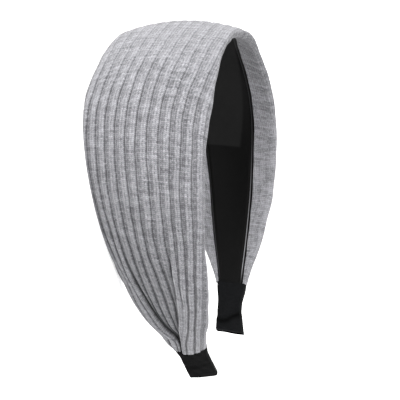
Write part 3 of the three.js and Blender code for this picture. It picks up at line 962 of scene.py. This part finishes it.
def heather_knit(settings):
    """Grey heather rib knit: plain-stitch wales on the ribs, sunken purl rows between, mixed fibres."""
    looks = {"Sheen Weight": 0.12, "Sheen Roughness": 0.5, "Specular IOR Level": 0.2}
    paint = Paint("heather_knit", settings.light_yarn, 0.92, looks)
    rib, along = paint.cloth_place()
    reach = abs(along)
    face = paint.mark("face")
    painted_shade_share = paint.mark("painted_shade")

    # Where ribs, valleys, steep sides and the smooth cloth of the folds lie
    in_rib = paint.math("FRACT", rib + (RIBS_ON + 0.5)) - 0.5
    from_valley = abs(in_rib) * 2
    on_margin = 0.6 * paint.change("margin_ribs", reach)
    on_face = 0.55 + 0.45 * paint.change("valleys_darken", reach)
    ribbed = on_margin + paint.step(0.7, 1, face) * (on_face - on_margin)
    inside = 1 - paint.step(0.2, 0.8, face)
    at_pleat = paint.change("pleat_smooth", reach) * (1 - paint.step(0.3, 0.4, abs(rib - 2.82)))
    before_pleat = paint.change("valley_two_fills", reach) * (1 - paint.step(0.25, 0.35, abs(rib - 2)))
    folded = paint.math("MAXIMUM", at_pleat, before_pleat)
    on_rib = paint.math("MAXIMUM", paint.step(0.34, 0.46, from_valley), folded)
    brow_side = paint.step(-0.05, 0.05, in_rib)
    # The ribs' steep sides, which take painted shade, more of it on the brow side of each valley
    wall = (1 - paint.step(0.02, 0.08, abs(from_valley - 0.4))) * (1 - folded) * (0.55 + brow_side * 0.6)

    # Plain stitches on the ribs and purl stitches in the valleys
    wale = abs(paint.math("FRACT", rib * WALES + RIBS_ON * WALES) - 0.5)
    course = along / settings.course_height + ROWS_ON
    stitch = course + wale * 0.9
    row = paint.math("FLOOR", stitch)
    loop = paint.math("SINE", paint.math("FRACT", stitch) * math.pi)
    column = paint.math("SQRT", 1 - wale * 2 * (wale * 2) * 0.96)
    plain = column * 0.65 + loop * 0.35
    purl = paint.math("SINE", paint.math("FRACT", course) * math.pi) * 0.6 + 0.1
    height = plain * on_rib + purl * (1 - on_rib)

    # One yarn runs across a row, so its light and dark lengths show as streaks from rib to rib
    patterns = {
        "streak": paint.noise(paint.join(rib * 0.6, row * 3.17)),
        "fleck": paint.noise(paint.join(rib * 5.5, row * 5.71 + 40), detail=1.0),
        "cloud": paint.noise(paint.join(rib * 0.5, along * 0.16), roughness=0.6),
        "fibre": paint.noise(paint.join(rib * 8, along * 1.9), roughness=0.7),
        "band": paint.noise(paint.join(rib * 0.4, along * 0.5, 7.0), roughness=0.6),
    }
    tone = YARN_TONE
    for name, strength in YARN_PATTERNS.items():
        tone = tone + (patterns[name] - 0.5) * strength
    tone = tone + (loop - 0.6) * 0.4 - (wale * 2) ** 3 * 0.26
    # Painted light and shade: the inner margins darker at the crown and paler down the legs, with yarn
    # streaks
    inside_painted_light_and_streaks = 0.5 * paint.change("inside_pales", reach) - 0.22 + (patterns["streak"] - 0.5) * 0.6
    tone = tone + inside * inside_painted_light_and_streaks
    # Painted shade in the valleys and on the ribs' steep sides
    tone = tone - ((1 - on_rib) * settings.valley_shade + wall * settings.wall_shade) * ribbed
    yarn = paint.mix(paint.clamp(tone), shade_of(settings.dark_yarn), shade_of(settings.light_yarn))
    # Painted shade: the yarn is darkened towards near black in the fold's lee, the crease, the lines and the
    # middle
    paint.feed("Base Color", paint.mix(painted_shade_share * settings.fold_painted_shade, yarn, shade_of(FOLD_PAINTED_SHADE)))
    paint.feed("Roughness", 0.86 + (patterns["fibre"] - 0.5) * 0.16)
    fuzz = height + (patterns["fibre"] - 0.5) * 0.6 + (patterns["fleck"] - 0.5) * 0.3
    paint.feed("Normal", paint.bump(fuzz, KNIT_BUMP))
    return paint.material


def black_moulding(settings):
    """Smooth black band. The stretch over the crown is a shade lighter, with a straight end on each leg."""
    paint = Paint("black_moulding", settings.band_color, 0.42, {"Specular IOR Level": 0.06})
    across, along = paint.cloth_place()
    reach = abs(along)
    from_edge = across + PALE_EDGE - (reach - PALE_EDGE_FROM) * PALE_EDGE_SLOPE
    crown = (1 - paint.step(PALE_END, PALE_END + PALE_END_WIDTH, reach)) * paint.step(-0.8, 0.8, from_edge)
    low = paint.change("band_pales", reach)
    mottle = paint.noise(paint.join(across * 0.4, along * 0.12), detail=3.0, roughness=0.6)
    grain = paint.noise(paint.join(across * 6, along * 6))
    pale = shade_of(settings.band_color, 6)
    body = paint.mix((crown + low * 0.45) * (0.7 + mottle * 0.5), shade_of(settings.band_color), pale)
    # Painted highlight on the beads' crests
    paint.feed("Base Color", paint.mix(paint.mark("rim") * settings.rim_highlight, body, shade_of(RIM_PAINTED_HIGHLIGHT)))
    paint.feed("Roughness", 0.42 + (mottle - 0.5) * 0.12 + crown * 0.08)
    paint.feed("Normal", paint.bump(grain, BAND_BUMP))
    return paint.material


def black_ribbon(settings):
    """Tightly woven black ribbon with fine cross cords."""
    paint = Paint("black_ribbon", settings.ribbon_color, 0.7, {"Specular IOR Level": 0.03})
    across, along = paint.cloth_place()
    cord = paint.math("SINE", along * (2 * math.pi / CORD_PITCH))
    shifted = paint.math("FLOOR", along / (CORD_PITCH / 2)) * math.pi
    warp = paint.math("SINE", across * (2 * math.pi / WARP_PITCH) + shifted)
    fibre = paint.noise(paint.join(across * 5, along * 5), detail=3.0, roughness=0.6)
    patch = paint.noise(paint.join(across * 0.3, along * 0.3))
    # Painted light on the inner face, and painted shade below the crease and in the pocket
    tone = fibre * 0.5 + patch * 0.4 + cord * 0.06 + paint.mark("inner") * 0.8 - 0.36 - paint.mark("painted_shade")
    deep = shade_of(settings.ribbon_color, 0.4)
    paint.feed("Base Color", paint.mix(paint.clamp(tone), deep, shade_of(settings.ribbon_color, 3)))
    paint.feed("Roughness", 0.62 + fibre * 0.2)
    paint.feed("Normal", paint.bump(cord * 0.7 + warp * 0.3 + fibre * 0.4, RIBBON_BUMP))
    return paint.material


def pale_floor(settings):
    glow = {"Emission Color": (1, 1, 1, 1), "Emission Strength": settings.floor_glow}
    paint = Paint("pale_floor", settings.floor_color, 0.9, {"Specular IOR Level": 0.1, **glow})
    mottle = paint.noise(paint.node("ShaderNodeTexCoord", {}, [], 3), 3.0, 3.0)
    bright, soft = shade_of(settings.floor_color), shade_of(settings.floor_color, 0.985)
    paint.feed("Base Color", paint.mix(mottle, bright, soft))
    return paint.material


# Settings that a user would change


class HeadbandKnitSettings(bpy.types.PropertyGroup):
    rib_crest: FloatProperty(
        name="Rib crest", description="Height of a rib over plain cloth, in mm", default=0.3, min=0, max=1)
    rib_valley: FloatProperty(
        name="Rib valley", description="Depth of the valley between ribs, in mm", default=0.5, min=0, max=1.2)
    course_height: FloatProperty(
        name="Course height", description="Height of one row of stitches, in mm", default=0.8, min=0.4, max=3)
    hem_droop: FloatProperty(
        name="Hem droop", description="Droop of the front hem at the crown, in mm", default=1.5, min=0, max=2)
    # Painted shade: how dark the yarn is made deep in folds, in the crease and in the valleys' lines
    fold_painted_shade: FloatProperty(
        name="Fold shade", description="How dark the yarn shows deep in a fold",
        default=0.9, min=0, max=1, subtype="FACTOR")
    # Painted shade on the ribs' steep sides and in the valleys
    wall_shade: FloatProperty(
        name="Wall shade", description="How dark the yarn shows on a rib's steep sides",
        default=0.4, min=0, max=1, subtype="FACTOR")
    valley_shade: FloatProperty(
        name="Valley shade", description="How much darker the yarn shows in the valleys",
        default=0.15, min=0, max=1, subtype="FACTOR")
    light_yarn: FloatVectorProperty(
        name="Light yarn", description="Palest fibre of the heather mix",
        default=(0.272, 0.271, 0.2875), min=0, max=1, subtype="COLOR")
    dark_yarn: FloatVectorProperty(
        name="Dark yarn", description="Darkest fibre of the heather mix",
        default=(0.054, 0.054, 0.0585), min=0, max=1, subtype="COLOR")


class HeadbandBandSettings(bpy.types.PropertyGroup):
    rim_height: FloatProperty(
        name="Rim height", description="Height of the raised edges, in mm", default=0.35, min=0, max=0.5)
    rim_width: FloatProperty(
        name="Rim width", description="Width of the raised edges, in mm", default=0.6, min=0.5, max=3)
    rim_ledge: FloatProperty(
        name="Rim ledge", description="Strip outside the rear raised edge, in mm", default=0.4, min=0, max=2)
    # Painted highlight: how pale the beads' crests are made
    rim_highlight: FloatProperty(
        name="Rim shine", description="How pale the raised edges are rubbed",
        default=0.8, min=0, max=1, subtype="FACTOR")
    band_color: FloatVectorProperty(
        name="Band colour", description="Colour of the springy band",
        default=(0.0013, 0.0013, 0.0013), min=0, max=1, subtype="COLOR")


class HeadbandSleeveSettings(bpy.types.PropertyGroup):
    ribbon_color: FloatVectorProperty(
        name="Ribbon colour", description="Colour of the end sleeves",
        default=(0.0022, 0.0023, 0.0025), min=0, max=1, subtype="COLOR")


class HeadbandStageSettings(bpy.types.PropertyGroup):
    camera_azimuth: FloatProperty(
        name="Camera azimuth", description="Turn of the camera about the band", default=-106.261)
    camera_elevation: FloatProperty(
        name="Camera elevation", description="Camera angle over the floor", default=17.225)
    camera_roll: FloatProperty(
        name="Camera roll", description="Turn of the picture about its middle", default=80.879)
    camera_distance: FloatProperty(
        name="Camera distance", description="From the aim to the camera", default=1.40297, unit="LENGTH")
    camera_aim: FloatVectorProperty(
        name="Camera aim", description="Point in the middle of the picture",
        default=(-0.00292, -0.00203, 0.02507), subtype="XYZ", unit="LENGTH")
    camera_lens: FloatProperty(
        name="Camera lens", description="Focal length in mm on a 36 mm sensor", default=310.57)
    floor_color: FloatVectorProperty(
        name="Floor colour", description="Colour of the plain pale floor",
        default=(0.98, 0.98, 0.98), min=0, max=1, subtype="COLOR")
    floor_glow: FloatProperty(name="Floor glow", description="Light given off by the floor", default=0.42)
    sky_strength: FloatProperty(name="Sky strength", description="Even light from all round", default=1.5)


class HeadbandSettings(bpy.types.PropertyGroup):
    knit: PointerProperty(type=HeadbandKnitSettings)
    band: PointerProperty(type=HeadbandBandSettings)
    sleeves: PointerProperty(type=HeadbandSleeveSettings)
    stage: PointerProperty(type=HeadbandStageSettings)


# Operators


class HEADBAND_OT_knit_cover(bpy.types.Operator):
    """Make the gathered rib-knit cover"""

    bl_idname = "headband.knit_cover"
    bl_label = "Knit cover"

    def execute(self, context):
        settings = context.scene.headband.knit
        cloth = make_knit(settings)
        finish_piece(cloth, "knit_cover", heather_knit(settings))
        # 11.5 ribs on the face and 2 in each hem, by 346 mm of arch and 3.5 mm of raw end at each tip
        return {"FINISHED"}


class HEADBAND_OT_inner_band(bpy.types.Operator):
    """Make the springy inner band"""

    bl_idname = "headband.inner_band"
    bl_label = "Inner band"

    def execute(self, context):
        settings = context.scene.headband.band
        band = make_band(settings)
        finish_piece(band, "inner_band", black_moulding(settings))
        return {"FINISHED"}


class HEADBAND_OT_end_sleeves(bpy.types.Operator):
    """Make the ribbon sleeve on each tip"""

    bl_idname = "headband.end_sleeves"
    bl_label = "End sleeves"

    def execute(self, context):
        settings = context.scene.headband.sleeves
        ribbon = black_ribbon(settings)
        for name, side in (("left", -1), ("right", 1)):
            piece = make_sleeve(name, side)
            finish_piece(piece, f"end_sleeve_{name}", ribbon)
        return {"FINISHED"}


# The studio's lamps, the edge of its floor, and the camera's sensor in mm
LAMPS = [
    {"name": "key", "place": (-0.1, 1.42, 0.34), "size": 0.7, "power": 27.0},
    {"name": "fill", "place": (-1.25, 0.5, 0.5), "size": 0.9, "power": 4.0},
    {"name": "low", "place": (-0.5, -0.35, 1.4), "size": 0.8, "power": 4.5},
]
FLOOR_SIZE = 8
SENSOR_WIDTH = 36
CLIP_END = 20


class HEADBAND_OT_stage(bpy.types.Operator):
    """Make the floor, the lights and the camera"""

    bl_idname = "headband.stage"
    bl_label = "Stage"

    def execute(self, context):
        settings = context.scene.headband.stage
        deselect_all()
        bpy.ops.mesh.primitive_plane_add(size=FLOOR_SIZE)
        floor = context.object
        floor.name = "floor"
        floor.data.materials.append(pale_floor(settings))

        world = bpy.data.worlds.new("studio")
        world.use_nodes = True
        sky = world.node_tree.nodes["Background"]
        sky.inputs["Color"].default_value = (1, 1, 1, 1)
        sky.inputs["Strength"].default_value = settings.sky_strength
        context.scene.world = world

        aim = Vector(settings.camera_aim)
        for row in LAMPS:
            bpy.ops.object.light_add(type="AREA", location=row["place"])
            lamp = context.object
            lamp.name = row["name"]
            lamp.data.size = row["size"]
            lamp.data.energy = row["power"]
            lamp.rotation_mode = "QUATERNION"
            lamp.rotation_quaternion = (aim - Vector(row["place"])).to_track_quat("-Z", "Y")

        azimuth = math.radians(settings.camera_azimuth)
        elevation = math.radians(settings.camera_elevation)
        out = math.cos(elevation)
        back = Vector((math.sin(azimuth) * out, -math.cos(azimuth) * out, math.sin(elevation)))
        level = Vector((math.cos(azimuth), math.sin(azimuth), 0))
        raised = back.cross(level)
        roll = math.radians(settings.camera_roll)
        right = level * math.cos(roll) + raised * math.sin(roll)
        up = back.cross(right)
        bpy.ops.object.camera_add(location=aim + back * settings.camera_distance)
        camera = context.object
        camera.name = "camera"
        camera.rotation_mode = "QUATERNION"
        camera.rotation_quaternion = Matrix((right, up, back)).transposed().to_quaternion()
        camera.data.lens = settings.camera_lens
        camera.data.sensor_width = SENSOR_WIDTH
        camera.data.clip_end = CLIP_END
        context.scene.camera = camera
        context.scene.view_settings.view_transform = "Standard"
        return {"FINISHED"}


class HEADBAND_PT_panel(bpy.types.Panel):
    """The headband's pieces in the sidebar"""

    bl_idname = "HEADBAND_PT_panel"
    bl_label = "Wide knit headband"
    bl_space_type = "VIEW_3D"
    bl_region_type = "UI"
    bl_category = "Headband"

    def draw(self, context):
        for made in PIECES:
            self.layout.operator(made.bl_idname)


PIECES = (HEADBAND_OT_stage, HEADBAND_OT_inner_band, HEADBAND_OT_end_sleeves, HEADBAND_OT_knit_cover)
CLASSES = (
    HeadbandKnitSettings,
    HeadbandBandSettings,
    HeadbandSleeveSettings,
    HeadbandStageSettings,
    HeadbandSettings,
    *PIECES,
    HEADBAND_PT_panel,
)


def register():
    for made in CLASSES:
        bpy.utils.register_class(made)
    bpy.types.Scene.headband = PointerProperty(type=HeadbandSettings)


def unregister():
    del bpy.types.Scene.headband
    for made in reversed(CLASSES):
        bpy.utils.unregister_class(made)


def main():
    register()
    bpy.ops.headband.stage()
    bpy.ops.headband.inner_band()
    bpy.ops.headband.end_sleeves()
    bpy.ops.headband.knit_cover()


if __name__ == "__main__":
    main()
